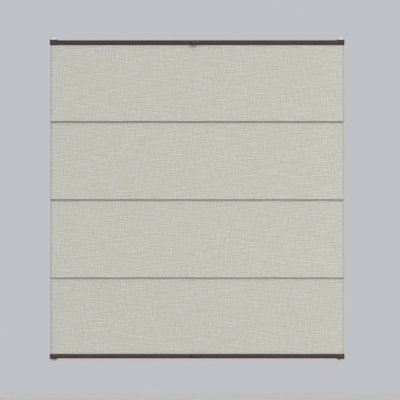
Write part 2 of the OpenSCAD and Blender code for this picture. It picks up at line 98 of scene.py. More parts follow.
def makeCamera():
    s = cameraSet
    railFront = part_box("top_rail")[0][1]
    data = bpy.data.cameras.new("camera")
    data.sensor_width = s["sensor"]
    data.lens = s["sensor"] * s["distance"] / (s["imagePixels"] * s["pixelSize"])
    camera = bpy.data.objects.new("camera", data)
    camera.location = (s["aimX"], railFront - s["distance"], s["aimZ"])
    camera.rotation_euler = (math.radians(90), 0, 0)
    scene.collection.objects.link(camera)
    scene.camera = camera
    print("camera: lens %.1f mm" % data.lens)


makeCamera()


# a socket that takes part in Python sums
class Wire:
    def __init__(self, nodes, socket):
        self.nodes = nodes
        self.socket = socket

    def maths(self, operation, first, second=None):
        return self.nodes.node("ShaderNodeMath", {"operation": operation}, {0: first, 1: second}, "Value")

    def __add__(self, other):
        return self.maths("ADD", self, other)

    def __radd__(self, other):
        return self.maths("ADD", other, self)

    def __sub__(self, other):
        return self.maths("SUBTRACT", self, other)

    def __rsub__(self, other):
        return self.maths("SUBTRACT", other, self)

    def __mul__(self, other):
        return self.maths("MULTIPLY", self, other)

    def __rmul__(self, other):
        return self.maths("MULTIPLY", other, self)

    def __truediv__(self, other):
        return self.maths("DIVIDE", self, other)

    def __rtruediv__(self, other):
        return self.maths("DIVIDE", other, self)

    def sine(self):
        return self.maths("SINE", self)

    def size(self):
        return self.maths("ABSOLUTE", self)

    def floor(self):
        return self.maths("FLOOR", self)

    def limit(self):
        return self.nodes.node("ShaderNodeClamp", {}, {"Value": self}, "Result")


# the nodes of a material or of the world
class Nodes:
    def __init__(self, tree):
        self.tree = tree

    # the settings go first, then each socket takes its value or its link
    def node(self, kind, settings, sockets, take):
        made = self.tree.nodes.new(kind)
        for key, value in settings.items():
            setattr(made, key, value)
        for key, value in sockets.items():
            if value is not None:
                self.join(value, made.inputs[key] if isinstance(key, int) else self.find(made.inputs, key))
        return Wire(self, self.find(made.outputs, take))

    def join(self, value, socket):
        if isinstance(value, Wire):
            self.tree.links.new(value.socket, socket)
        else:
            socket.default_value = value

    def find(self, sockets, word):
        for socket in sockets:
            if word in (socket.identifier, socket.name):
                return socket
        raise KeyError(word)

    def place(self):
        return self.node("ShaderNodeTexCoord", {}, {}, "Object")

    def parts(self, vector):
        first = self.node("ShaderNodeSeparateXYZ", {}, {"Vector": vector}, "X")
        return [Wire(self, socket) for socket in first.socket.node.outputs]

    # perMetre is one number, or one for each axis
    def noise(self, vector, perMetre, detail, roughness):
        scale = perMetre if isinstance(perMetre, tuple) else (perMetre,) * 3
        place = self.node("ShaderNodeVectorMath", {"operation": "MULTIPLY"}, {0: vector, 1: scale}, "Vector")
        return self.node("ShaderNodeTexNoise", {},
                         {"Vector": place, "Scale": 1.0, "Detail": detail, "Roughness": roughness}, "Fac")

    # a soft step from one number to the other over a span of the value
    def step(self, value, span, out=(0.0, 1.0)):
        return self.node("ShaderNodeMapRange", {"interpolation_type": "SMOOTHSTEP"},
                         {"Value": value, "From Min": span[0], "From Max": span[1],
                          "To Min": out[0], "To Max": out[1]}, "Result")

    def mix(self, factor, first, second):
        first, second = [c if isinstance(c, Wire) else (*c, 1.0) for c in (first, second)]
        return self.node("ShaderNodeMix", {"data_type": "RGBA"},
                         {"Factor_Float": factor, "A_Color": first, "B_Color": second}, "Result_Color")

    def bump(self, height, strength, depth):
        return self.node("ShaderNodeBump", {},
                         {"Height": height, "Strength": strength, "Distance": depth}, "Normal")

    # 1 for the rays that show the studio, 0 for those that light the blind
    def shown(self):
        camera, glossy, clear = [self.node("ShaderNodeLightPath", {}, {}, "Is %s Ray" % kind)
                                 for kind in ("Camera", "Glossy", "Transmission")]
        return (camera + glossy + clear).limit()


# a material, whose shader takes fixed numbers and links alike
class Finish(Nodes):
    def __init__(self, name):
        self.material = bpy.data.materials.new(name)
        self.material.use_nodes = True
        super().__init__(self.material.node_tree)
        self.shader = self.tree.nodes["Principled BSDF"]

    def feed(self, sockets):
        for name, value in sockets.items():
            self.join(value, self.shader.inputs[name])


# in every look a noise is (patches in a metre, detail, roughness) and a bump is (strength, depth)
# linen: plain weave of uneven yarns, mapped along the cloth in metres
linenLook = {
    "ground": (0.526, 0.520, 0.474),
    "pale": (0.669, 0.690, 0.658),                 # thick yarns
    "deep": (0.451, 0.415, 0.347),                 # thin yarns, and painted shade in the gaps between yarns
    "warm": (0.575, 0.520, 0.450),
    "green": (0.490, 0.530, 0.468),
    # painted shade along the side edges: the darker colour the cloth is drawn in near them
    "hem": (0.370, 0.362, 0.318),
    "weft": {"long": 84 * mm, "thick": 2.1 * mm, "seed": 0.5},
    "warp": {"long": 66 * mm, "thick": 2.1 * mm, "seed": 700.5},
    "warpShare": 0.7,
    "yarnDetail": 4.0,
    "yarnRoughness": 0.62,
    "yarnSpread": 90,                              # how far apart the yarns lie in their noise
    "nextYarn": 0.7,                               # what a thick yarn takes from the next
    "drift": 2.6 * mm,                             # how far a weft yarn wanders off its line
    "driftNoise": ((1 / (70 * mm), 2 / (70 * mm), 1), 1.0, 0.5),
    "warpDrift": 0.5,
    "apart": (3.1, 7.7, 0),                        # sets flecks and tints off from the drift
    "fleckNoise": (1 / (1.6 * mm), 1.0, 0.5),
    "fleckShare": 0.5,
    "tintNoise": (1 / (7 * mm), 3.0, 0.6),
    "warmSpan": (0.50, 0.62),
    "greenSpan": (0.50, 0.38),
    "tintShare": 0.88,
    "slubSpan": (-0.02, 0.25),
    "thinSpan": (0.0, -0.25),
    "slubShare": 0.85,
    "weave": 1.3 * mm,                             # two yarns of the plain weave
    "gapSpan": (0.1, -0.9),
    "gapShare": 0.3,
    "edgeShadeWide": 4.4 * mm,
    "edgeShadeFade": 1.2 * mm,
    "edgeShadeShare": 0.75,
    "relief": {"weave": 0.5, "slub": 0.6, "thin": 0.3},
    "bump": (0.35, 0.25 * mm),
    "glossSpan": (-0.3, 0.3),
    "roughness": (0.93, 0.82),
    "shader": {"Sheen Weight": 0.15, "Sheen Roughness": 0.6, "Specular IOR Level": 0.25},
}


# rows of yarns, each uneven in its own way along its length; a thick yarn leaves the next less space
def yarnTones(f, along, across, yarn):
    look = linenLook
    row = (across / yarn["thick"]).floor() + yarn["seed"]
    tones = []
    for number in (row, row + 1.0):
        start = f.node("ShaderNodeTexWhiteNoise", {"noise_dimensions": "1D"}, {"W": number}, "Value")
        place = along / yarn["long"] + start * look["yarnSpread"]
        tones.append(f.node("ShaderNodeTexNoise", {"noise_dimensions": "1D"},
                            {"W": place, "Scale": 1.0, "Detail": look["yarnDetail"],
                             "Roughness": look["yarnRoughness"]}, "Fac") - 0.5)
    return tones[0] - tones[1] * look["nextYarn"]


def makeLinen(halfWidth):
    look = linenLook
    f = Finish("linen")
    along = f.node("ShaderNodeUVMap", {"uv_map": "weave"}, {}, "UV")
    u, v, _ = f.parts(along)
    drift = (f.noise(along, *look["driftNoise"]) - 0.5) * look["drift"]
    weft = yarnTones(f, u, v + drift, look["weft"])
    warp = yarnTones(f, v, u + drift * look["warpDrift"], look["warp"])
    apart = f.node("ShaderNodeVectorMath", {"operation": "ADD"}, {0: along, 1: look["apart"]}, "Vector")
    fleck = f.noise(apart, *look["fleckNoise"]) - 0.5
    tone = weft + warp * look["warpShare"] + fleck * look["fleckShare"]
    slub = f.step(tone, look["slubSpan"])
    thin = f.step(tone, look["thinSpan"])
    tint = f.noise(apart, *look["tintNoise"])
    colour = f.mix(f.step(tint, look["warmSpan"]) * look["tintShare"], look["ground"], look["warm"])
    colour = f.mix(f.step(tint, look["greenSpan"]) * look["tintShare"], colour, look["green"])
    colour = f.mix(slub * look["slubShare"], colour, look["pale"])
    colour = f.mix(thin * look["slubShare"], colour, look["deep"])
    turn = 2 * math.pi / look["weave"]
    weave = (u * turn).sine() * (v * turn).sine()
    # painted shade: the weave's low points between the yarns are drawn darker
    colour = f.mix(f.step(weave, look["gapSpan"]) * look["gapShare"], colour, look["deep"])
    # painted shade: the cloth is drawn darker in a band along each side edge, where the side hems lie
    edgeShadeStart = halfWidth - look["edgeShadeWide"]
    hem = f.step(u.size(), (edgeShadeStart, edgeShadeStart + look["edgeShadeFade"]))
    colour = f.mix(hem * look["edgeShadeShare"], colour, look["hem"])
    relief = look["relief"]
    height = weave * relief["weave"] + slub * relief["slub"] - thin * relief["thin"]
    f.feed({
        **look["shader"],
        "Base Color": colour,
        "Roughness": f.step(weft, look["glossSpan"], look["roughness"]),
        "Normal": f.bump(height, *look["bump"]),
    })
    return f


threadLook = {
    "pale": (0.60, 0.585, 0.53),
    "deep": (0.44, 0.425, 0.37),
    "twist": 0.45 * mm,
    "plyShadeSpan": (-0.6, 0.6),
    "bump": (0.3, 0.05 * mm),
    "shader": {"Roughness": 0.7, "Sheen Weight": 0.1},
}


def makeThread():
    look = threadLook
    f = Finish("sewing_thread")
    x, _, z = f.parts(f.place())
    ply = ((x + z) * (2 * math.pi / look["twist"])).sine()
    # painted shade: the thread is drawn darker in the grooves between its plies
    f.feed({
        **look["shader"],
        "Base Color": f.mix(f.step(ply, look["plyShadeSpan"]), look["deep"], look["pale"]),
        "Normal": f.bump(ply, *look["bump"]),
    })
    return f


# the cloth's own sizes; its places come from the rods and the hem strips
clothSet = {
    "thick": 0.9 * mm,
    "rodGap": 0.3 * mm,
    "lipOut": 3.3 * mm,          # a tuck's lower crease stands out from its rod
    "lipDrop": 1.4 * mm,
    "lipTurn": 1.0 * mm,
    "layerGap": 0.15 * mm,       # between two layers of a tuck or a hem
    "seamTurn": 0.75 * mm,       # radius of the turn at a tuck's seam
    "seamHigh": 9 * mm,          # over the rod
    "tuckHigh": 13 * mm,         # where a panel ends and its tuck starts, over the rod
    "tuckLow": 1.2 * mm,         # where the tuck ends and the next panel starts, under the rod
    "lead": 2 * mm,              # upright cloth next to a rail
    "tail": 7 * mm,              # a hem's tail outside its rail
    "tailTurn": 1.0 * mm,
    "hemReach": 9 * mm,          # how far a hem piece reaches out of its rail
    "sideHem": 6 * mm,
    "hemPoints": (0.3, 0.65, 1.0),
    "columns": 110,
    "row": 4 * mm,
    "fineRow": 2 * mm,           # in hems and tucks
    "arcSteps": {"tail": 6, "strip": 24, "lip": 10, "rod": 16, "seam": 12, "pass": 5, "side": 6},
    "samePoint": 0.001 * mm,     # nearer points are one
    "sharp": 50,                 # degrees at which an edge stays sharp
}
# what keeps the cloth from being quite flat; a roll is (share, by x, by z, start)
looseSet = {
    "flare": 0.6 * mm,           # the tucks stand out at the sides
    "flareHigh": 12 * mm,
    "lipSag": 0.6 * mm,
    "lipHigh": 3 * mm,           # the sag starts here, over the rod
    "lipLong": 5 * mm,
    "front": 0.7 * mm,           # only what stands this far in front sags
    "sagLevel": 0.5,
    "sagRolls": ((0.25, 17.0, 0.0, 1.0), (0.25, 41.0, 0.0, 0.4)),
    "sagEnds": 0.8,
    "sagEndLong": 25 * mm,
    "wave": 0.35 * mm,
    "waveFade": 0.25,            # share of a panel's height
    "waveRolls": ((1.0, 9.1, 3.0, 0.6), (0.6, 21.0, -7.0, 2.1), (0.5, 5.0, 14.0, 4.0)),
}
folds = [1, 2, 3]
lastPanel = len(folds) + 1
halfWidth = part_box("cloth")[1][0]
rodPlace = {k: middle("fold_rod_%d" % k) for k in folds}
stripPlace = {end: middle(end + "_hem_strip") for end in ("top", "bottom")}
railSide = {"top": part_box("top_rail")[0][2], "bottom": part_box("bottom_rail")[1][2]}
wrapRadius = halfHeight("fold_rod_1") + clothSet["rodGap"] + clothSet["thick"] / 2
passRadius = wrapRadius + clothSet["thick"] + clothSet["layerGap"]
hemRadius = halfHeight("top_hem_strip") + clothSet["rodGap"] + clothSet["thick"] / 2
hemTurn = clothSet["thick"] / 2 + clothSet["layerGap"]      # half the depth of a side hem
planeY = stripPlace["top"].y - hemRadius                    # the cloth's middle line at the rails
linen = makeLinen(halfWidth)
thread = makeThread()


def arc(centre, radius, start, end, steps):
    angles = [math.radians(start + (end - start) * i / steps) for i in range(steps + 1)]
    return [Vector((centre[0] + radius * math.cos(a), centre[1] + radius * math.sin(a))) for a in angles]


def straight(start, end, step):
    count = max(1, round((end - start).length / step))
    return [start.lerp(end, i / count) for i in range(count + 1)]


def bearing(start, end):
    return math.degrees(math.atan2(end.y - start.y, end.x - start.x))


def joined(*runs):
    points = []
    for run in runs:
        for p in run:
            if not points or (p - points[-1]).length > clothSet["samePoint"]:
                points.append(p)
    return points


def lengths(path):
    run = [0.0]
    for a, b in zip(path, path[1:]):
        run.append(run[-1] + (b - a).length)
    return run


# the middle of the turn at a tuck's lower crease
def lipPlace(k):
    return rodPlace[k].yz - Vector((clothSet["lipOut"], clothSet["lipDrop"]))


# degrees between a panel and the upright
def panelLean():
    line = lipPlace(2) - rodPlace[1].yz
    touch = math.asin((clothSet["lipTurn"] + passRadius) / line.length)
    return math.degrees(touch + math.atan2(-line.x, -line.y))


# a panel's straight line, from where it leaves a rail or a rod's back to a crease's front or a rail
def panelLine(k):
    if k == 1:
        start = Vector((planeY, railSide["top"] - clothSet["lead"]))
        lip = lipPlace(1)
        meet = bearing(lip, start) + math.degrees(math.acos(clothSet["lipTurn"] / (start - lip).length))
    else:
        meet = 180 - panelLean()
        start = arc(rodPlace[k - 1].yz, passRadius, -panelLean() if k < lastPanel else 0, 0, 1)[0]
    if k == lastPanel:
        return start, Vector((planeY, railSide["bottom"] + clothSet["lead"])), 0
    return start, arc(lipPlace(k), clothSet["lipTurn"], meet, 0, 1)[0], meet


def endOf(k, z):
    start, end, _ = panelLine(k)
    return start.lerp(end, (z - start.y) / (end.y - start.y))


# paths run from the top down, as (y, z); a hem is drawn around its strip with the rail's open side down
def hemPath(end):
    s, steps = clothSet, clothSet["arcSteps"]
    sign = 1 if end == "top" else -1
    strip = stripPlace[end]
    depth = sign * (strip.z - railSide[end])
    tailY = planeY + s["thick"] + s["rodGap"]
    turn = Vector((tailY + s["tailTurn"], -hemRadius - s["tailTurn"]))
    local = joined(
        straight(Vector((tailY, -depth - s["tail"])), Vector((tailY, turn.y)), s["fineRow"]),
        arc(turn, s["tailTurn"], 180, 90, steps["tail"]),
        arc((strip.y, 0), hemRadius, -90, 180, steps["strip"]),
        straight(Vector((planeY, 0)), Vector((planeY, -depth - s["lead"])), s["fineRow"]),
    )
    placed = [Vector((p.x, strip.z + sign * p.y)) for p in local]
    if end == "bottom":
        return joined([endOf(lastPanel, railSide["bottom"] + s["hemReach"])], placed[::-1])
    return joined(placed, [endOf(1, railSide["top"] - s["hemReach"])])


# around its crease and its rod, up to the seam behind its own front, over and down behind the rod
def tuckPath(k):
    s, steps = clothSet, clothSet["arcSteps"]
    rod, lip = rodPlace[k].yz, lipPlace(k)
    lipTouch = math.acos((s["lipTurn"] - wrapRadius) / (rod - lip).length)
    lipEnd = 360 + bearing(lip, rod) - math.degrees(lipTouch)
    seamZ = rod.y + s["seamHigh"]
    seam = Vector((endOf(k, seamZ).x + s["thick"] + s["layerGap"] + s["seamTurn"], seamZ))
    span, rise = (seam - rod).length, bearing(rod, seam)
    wrapEnd = 360 + rise - math.degrees(math.acos((wrapRadius + s["seamTurn"]) / span))
    seamEnd = rise - 180 + math.degrees(math.acos((s["seamTurn"] - passRadius) / span))
    passEnd = -panelLean() if k + 1 < lastPanel else 0
    _, meetPoint, meet = panelLine(k)
    return joined(
        straight(endOf(k, rod.y + s["tuckHigh"]), meetPoint, s["fineRow"]),
        arc(lip, s["lipTurn"], meet, lipEnd, steps["lip"]),
        arc(rod, wrapRadius, lipEnd, wrapEnd, steps["rod"]),
        arc(seam, s["seamTurn"], wrapEnd - 180, seamEnd, steps["seam"]),
        arc(rod, passRadius, seamEnd, passEnd, steps["pass"]),
        [endOf(k + 1, rod.y - s["tuckLow"])],
    )


# the cloth's section across its width: a line of (x, depth behind the front)
def widthLine(hemmed):
    s, steps = clothSet, clothSet["arcSteps"]["side"]
    edge = halfWidth - s["thick"] / 2 - hemTurn
    flat = [(-edge + 2 * edge * i / s["columns"], 0.0) for i in range(s["columns"] + 1)]
    if not hemmed:
        return [(-halfWidth, 0.0), *flat, (halfWidth, 0.0)]
    right = [(edge + hemTurn * math.sin(a), hemTurn - hemTurn * math.cos(a))
             for a in [math.pi * i / steps for i in range(1, steps + 1)]]
    right += [(edge - s["sideHem"] * t, 2 * hemTurn) for t in s["hemPoints"]]
    left = [(-x, d) for x, d in reversed(right)]
    return left + flat + right


# the width line moved half the cloth's thickness to the front or to the back
def skinLine(line, side):
    half = clothSet["thick"] / 2
    skin = []
    for i, (x, d) in enumerate(line):
        ax, ad = line[max(i - 1, 0)]
        bx, bd = line[min(i + 1, len(line) - 1)]
        size = math.hypot(bx - ax, bd - ad)
        skin.append((x + side * half * (ad - bd) / size, d + side * half * (bx - ax) / size))
    return skin


# how far each point of the width line lies from the cloth's middle, laid flat
def flatPlaces(line):
    across = [0.0]
    for a, b in zip(line, line[1:]):
        across.append(across[-1] + math.hypot(b[0] - a[0], b[1] - a[1]))
    return [a - across[-1] / 2 for a in across]


def rolls(kinds, x, z):
    return sum(share * math.sin(byX * x + byZ * z + start) for share, byX, byZ, start in kinds)


# slight waves that die out towards rods and rails
def panelShift(high, low):
    s = looseSet

    def shift(x, y, z):
        t = (high - z) / (high - low)
        fade = smooth(t / s["waveFade"]) * smooth((1 - t) / s["waveFade"])
        return x, y + s["wave"] * fade * rolls(s["waveRolls"], x, z), z

    return shift


# a tuck's front sags unevenly, more at its ends, and stands out at the sides
def tuckShift(k):
    s = looseSet
    rodZ = rodPlace[k].z

    def shift(x, y, z):
        if y >= planeY - s["front"]:
            return x, y, z
        ends = smooth((abs(x) - halfWidth + s["sagEndLong"]) / s["sagEndLong"])
        sag = s["sagLevel"] + rolls(s["sagRolls"], x, z) + s["sagEnds"] * ends
        drop = sag * s["lipSag"] * smooth((rodZ + s["lipHigh"] - z) / s["lipLong"])
        out = s["flare"] / halfWidth * smooth((rodZ + s["flareHigh"] - z) / s["flareHigh"])
        return x * (1 + out), y, z - drop

    return shift


def plainShift(x, y, z):
    return x, y, z


# a stitch is a slim raised loop of thread whose ends dip into the cloth
stitchSet = {
    "length": 2.6 * mm,
    "pitch": 3.6 * mm,
    "wide": 0.5 * mm,
    "high": 0.22 * mm,
    "body": (-0.32, 0.32),       # where its full section starts and ends, of its length
    "section": ((1, 0), (0.6, 0.8), (-0.6, 0.8), (-1, 0), (0, -0.8)),
    "seamDrop": 2.0 * mm,        # below the top of a tuck's seam
    "sideIn": 4.4 * mm,          # from the cloth's side edge
}


def addStitch(mesh, centre, along, out):
    s = stitchSet
    side = along.cross(out)
    ends = [mesh.verts.new(centre + along * (s["length"] / 2 * e) - out * s["high"]) for e in (-1, 1)]
    rings = []
    for e in s["body"]:
        base = centre + along * (s["length"] * e)
        rings.append([mesh.verts.new(base + side * (s["wide"] / 2 * a) + out * (s["high"] * b))
                      for a, b in s["section"]])
    count = len(s["section"])
    for i in range(count):
        j = (i + 1) % count
        faces = [(rings[0][i], rings[0][j], rings[1][j], rings[1][i]),
                 (ends[0], rings[0][j], rings[0][i]), (ends[1], rings[1][i], rings[1][j])]
        for verts in faces:
            made = mesh.faces.new(verts)
            made.smooth = True
            made.material_index = 1


# rows of stitches as (x, y, z, direction, outward)
def seamStitches(k):
    s = stitchSet
    z = rodPlace[k].z + clothSet["seamHigh"] + clothSet["seamTurn"] - s["seamDrop"]
    count = int((2 * halfWidth - 2 * s["sideIn"]) / s["pitch"])
    front = endOf(k, z).x - clothSet["thick"] / 2
    return [((i - count / 2) * s["pitch"], front, z, (1, 0, 0), (0, -1, 0)) for i in range(count + 1)]


def sideStitches(k, high, low):
    s = stitchSet
    half = clothSet["thick"] / 2
    count = int((high - low) / s["pitch"])
    rows = []
    for i in range(count):
        z = high - (i + 0.5) * (high - low) / count
        y = endOf(k, z).x
        for side in (-1, 1):
            x = side * (halfWidth - s["sideIn"])
            rows.append((x, y - half, z, (0, 0, 1), (0, -1, 0)))
            rows.append((x, y + 2 * hemTurn + half, z, (0, 0, 1), (0, 1, 0)))
    return rows


# one piece of the sheet, swept along its path, each point then moved by shift
def sweepCloth(name, path, startLength, hemmed, shift, stitches=()):
    line = widthLine(hemmed)
    count = len(line)
    skins = [skinLine(line, side) for side in (-1, 1)]
    across = flatPlaces(line)
    run = lengths(path)
    mesh = bmesh.new()
    weave = mesh.loops.layers.uv.new("weave")
    rows = []
    for i, p in enumerate(path):
        ahead = path[min(i + 1, len(path) - 1)] - path[max(i - 1, 0)]
        ahead.normalize()
        back = Vector((-ahead.y, ahead.x))     # behind the cloth, for a path that runs down
        rows.append([mesh.verts.new(shift(x, *(p + back * d))) for skin in skins for x, d in skin])

    def face(verts, places):
        made = mesh.faces.new(verts)
        made.smooth = True
        for loop, place in zip(made.loops, places):
            loop[weave].uv = place

    for i in range(len(path) - 1):
        vs = (startLength + run[i], startLength + run[i + 1])
        a, b = rows[i], rows[i + 1]
        for j in range(count - 1):
            us = (across[j], across[j + 1])
            places = [(us[0], vs[0]), (us[1], vs[0]), (us[1], vs[1]), (us[0], vs[1])]
            face([a[j], a[j + 1], b[j + 1], b[j]], places)
            face([b[count + j], b[count + j + 1], a[count + j + 1], a[count + j]], places[::-1])
        for j, turn in ((0, 1), (count - 1, -1)):
            u = across[j]
            verts = [a[j], b[j], b[count + j], a[count + j]]
            places = [(u, vs[0]), (u, vs[1]), (u, vs[1]), (u, vs[0])]
            face(verts[::turn], places[::turn])
    for row, v, turn in ((rows[0], startLength, -1), (rows[-1], startLength + run[-1], 1)):
        for j in range(count - 1):
            verts = [row[j], row[j + 1], row[count + j + 1], row[count + j]]
            places = [(across[j], v), (across[j + 1], v), (across[j + 1], v), (across[j], v)]
            face(verts[::turn], places[::turn])
    for x, y, z, along, out in stitches:
        addStitch(mesh, Vector(shift(x, y, z)), Vector(along), Vector(out))
    bmesh.ops.recalc_face_normals(mesh, faces=mesh.faces[:])
    sharp = math.radians(clothSet["sharp"])
    for e in mesh.edges:
        if len(e.link_faces) == 2 and e.calc_face_angle() > sharp:
            e.smooth = False
    data = bpy.data.meshes.new(name)
    mesh.to_mesh(data)
    mesh.free()
    data.materials.append(linen.material)
    data.materials.append(thread.material)
    piece = bpy.data.objects.new(name, data)
    scene.collection.objects.link(piece)
    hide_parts("cloth")
    return piece, run[-1]


# a panel gathers as two halves that swing out to the front in a V; here only the turn in degrees is given
# and gather() works out the sizes and gives each half its own mesh, while the halves stay as they hang
gatherSet = {"turn": {1: 12.0, 2: 14.5, 3: 14.5, 4: 16.0}}      # degrees
joints = {j["name"]: j for j in frame["record"]["behaviour"]["joints"]}
topTravel = joints["top_rail_slide"]["range_m"][1]
foldTravel = joints["bottom_rail_slide"]["range_m"][1] / len(folds)
# the bodies at the ends of the panels, from the top down
foldBody = {0: "top_rail", 1: "sash_fittings", 2: "fold_2", 3: "fold_3", 4: "bottom_rail"}


def gather(piece, k, travel, start, end, upper):
    turn = math.radians(gatherSet["turn"][k])
    lean = (start.x - end.x) / (start.y - end.y)
    sign = -1 if upper else 1
    # the height that a half would lose if squashed flat
    reach = (start.y - end.y) * math.cos(turn) * (math.cos(turn) + sign * lean * math.sin(turn))
    sign * math.sin(turn)
    1 - travel / 2 / reach
    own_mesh(piece)


def makeCloth():
    s = clothSet
    at = 0.0
    made = []
    piece, run = sweepCloth("hem_top", hemPath("top"), at, False, plainShift)
    made.append((piece, "top_rail", run, ["top_hem_strip"]))
    at += run
    for k in (*folds, lastPanel):
        high = railSide["top"] - s["hemReach"] if k == 1 else rodPlace[k - 1].z - s["tuckLow"]
        low = railSide["bottom"] + s["hemReach"] if k == lastPanel else rodPlace[k].z + s["tuckHigh"]
        mid = (high + low) / 2
        joint, travel = ("top_rail_slide", topTravel) if k == 1 else ("bottom_rail_slide", foldTravel)
        for upper, a, b in ((True, high, mid), (False, mid, low)):
            start, end = endOf(k, a), endOf(k, b)
            name = "panel_%d_%s" % (k, "upper" if upper else "lower")
            piece, run = sweepCloth(name, straight(start, end, s["row"]), at, True, panelShift(high, low),
                                    sideStitches(k, a, b))
            at += run
            made.append((piece, foldBody[k - 1 if upper else k], run, ["top_rail"]))
            gather(piece, k, travel, start, end, upper)
        if k < lastPanel:
            piece, run = sweepCloth("tuck_%d" % k, tuckPath(k), at, False, tuckShift(k), seamStitches(k))
            made.append((piece, foldBody[k], run, ["fold_rod_%d" % k]))
            at += run
    piece, run = sweepCloth("hem_bottom", hemPath("bottom"), at, False, plainShift)
    made.append((piece, "bottom_rail", run, ["bottom_hem_strip"]))
    at += run
    for piece, body, run, rest in made:
        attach(piece, body)
    print("cloth: %d pieces, %.3f m long" % (len(made), at))


makeCloth()


# powder coat on the rails: a fine grain and broad, faint clouds
coatLook = {
    "brown": (0.064, 0.046, 0.036),
    "pale": (0.086, 0.065, 0.053),
    "grainNoise": (1 / (0.5 * mm), 2.0, 0.6),
    "grainSpan": (0.35, 0.75),
    "grainShare": 0.5,
    "cloudNoise": (1 / (90 * mm), 3.0, 0.5),
    "cloudSpan": (0.4, 0.7),
    "cloudShare": 0.25,
    "glossSpan": (0.3, 0.7),
    "roughness": (0.36, 0.46),
    "bump": (0.25, 0.06 * mm),
    "shader": {"Specular IOR Level": 0.15},
}


def makeRailCoat():
    look = coatLook
    f = Finish("rail_coat")
    place = f.place()
    grain = f.noise(place, *look["grainNoise"])
    cloud = f.noise(place, *look["cloudNoise"])
    pale = (f.step(grain, look["grainSpan"]) * look["grainShare"]
            + f.step(cloud, look["cloudSpan"]) * look["cloudShare"])
    f.feed({
        **look["shader"],
        "Base Color": f.mix(pale, look["brown"], look["pale"]),
        "Roughness": f.step(cloud, look["glossSpan"], look["roughness"]),
        "Normal": f.bump(grain, *look["bump"]),
    })
    return f


# moulded plastic of the caps and handles, rubbed a little paler and smoother in places
capLook = {
    "brown": (0.066, 0.048, 0.037),
    "worn": (0.096, 0.073, 0.058),
    "rubNoise": ((60.0, 60.0, 220.0), 4.0, 0.6),
    "rubSpan": (0.55, 0.8),
    "rubShare": 0.5,
    "grainNoise": (1 / (0.35 * mm), 3.0, 0.65),
    "grainSpan": (0.5, 0.8),
    "grainShare": 0.3,
    "glossSpan": (0.35, 0.7),
    "roughness": (0.52, 0.40),
    "bump": (0.3, 0.05 * mm),
    "shader": {"Specular IOR Level": 0.18},
}


def makeCapPlastic():
    look = capLook
    f = Finish("cap_plastic")
    place = f.place()
    grain = f.noise(place, *look["grainNoise"])
    rub = f.noise(place, *look["rubNoise"])
    worn = (f.step(rub, look["rubSpan"]) * look["rubShare"]
            + f.step(grain, look["grainSpan"]) * look["grainShare"])
    f.feed({
        **look["shader"],
        "Base Color": f.mix(worn, look["brown"], look["worn"]),
        "Roughness": f.step(rub, look["glossSpan"], look["roughness"]),
        "Normal": f.bump(grain, *look["bump"]),
    })
    return f


# white paint on the clamps and white plastic on the shoes and beads
whiteLook = {
    "white": (0.73, 0.74, 0.755),
    "dust": (0.61, 0.61, 0.60),
    "dustNoise": ((45.0, 45.0, 70.0), 5.0, 0.65),
    "dustSpan": (0.5, 0.78),
    "dustShare": 0.6,
    "glossSpan": (0.3, 0.7),
    "peelNoise": (1 / (1.1 * mm), 2.0, 0.5),
    "paint": {"roughness": (0.34, 0.46), "bump": (0.3, 0.12 * mm)},
    "plastic": {"roughness": (0.42, 0.54), "bump": (0.3, 0.04 * mm)},
    "shader": {"Specular IOR Level": 0.5},
}


def makeWhite(kind):
    look = whiteLook
    f = Finish("white_" + kind)
    place = f.place()
    peel = f.noise(place, *look["peelNoise"])
    dust = f.noise(place, *look["dustNoise"])
    f.feed({
        **look["shader"],
        "Base Color": f.mix(f.step(dust, look["dustSpan"]) * look["dustShare"], look["white"], look["dust"]),
        "Roughness": f.step(dust, look["glossSpan"], look[kind]["roughness"]),
        "Normal": f.bump(peel, *look[kind]["bump"]),
    })
    return f


# braid: two diagonal waves along the cord, which runs on Z or on X
cordLook = {
    "pale": (0.56, 0.535, 0.475),
    "gap": (0.30, 0.285, 0.245),
    "plait": 1.7 * mm,
    "slant": 1.3,
    "plaitSpan": (-0.7, 0.5),
    "bump": (0.5, 0.15 * mm),
    "shader": {"Roughness": 0.75, "Sheen Weight": 0.15},
}


def makeCord(name, along):
    look = cordLook
    f = Finish(name)
    x, y, z = f.parts(f.place())
    run, side = (z, x + y) if along == "Z" else (x, z + y)
    turn = 2 * math.pi / look["plait"]
    plait = ((run + side * look["slant"]) * turn).sine() * ((run - side * look["slant"]) * turn).sine()
    f.feed({
        **look["shader"],
        # painted shade: the braid is drawn darker in its grooves, where the plait is low
        "Base Color": f.mix(f.step(plait, look["plaitSpan"]), look["gap"], look["pale"]),
        "Normal": f.bump(plait, *look["bump"]),
    })
    return f


# zinc on the screws and bushes, with a fine spangle
steelLook = {
    "first": (0.38, 0.38, 0.37),
    "second": (0.60, 0.60, 0.59),
    "noise": (900.0, 3.0, 0.6),
    "span": (0.35, 0.7),
    "roughness": (0.42, 0.27),
    "bump": (0.15, 0.05 * mm),
    "shader": {"Metallic": 1.0},
}
# black rubber of the pads, with a grey bloom
rubberLook = {
    "first": (0.028, 0.028, 0.029),
    "second": (0.065, 0.064, 0.062),
    "noise": (420.0, 4.0, 0.6),
    "span": (0.4, 0.75),
    "roughness": (0.72, 0.86),
    "bump": (0.3, 0.08 * mm),
    "shader": {"Specular IOR Level": 0.3},
}
# drawn plastic of the rods, with fibres along X
rodLook = {
    "first": (0.62, 0.61, 0.56),
    "second": (0.48, 0.465, 0.41),
    "noise": ((35.0, 1500.0, 1500.0), 3.0, 0.6),
    "span": (0.45, 0.75),
    "roughness": (0.34, 0.50),
    "bump": (0.2, 0.05 * mm),
    "shader": {"Specular IOR Level": 0.5},
}
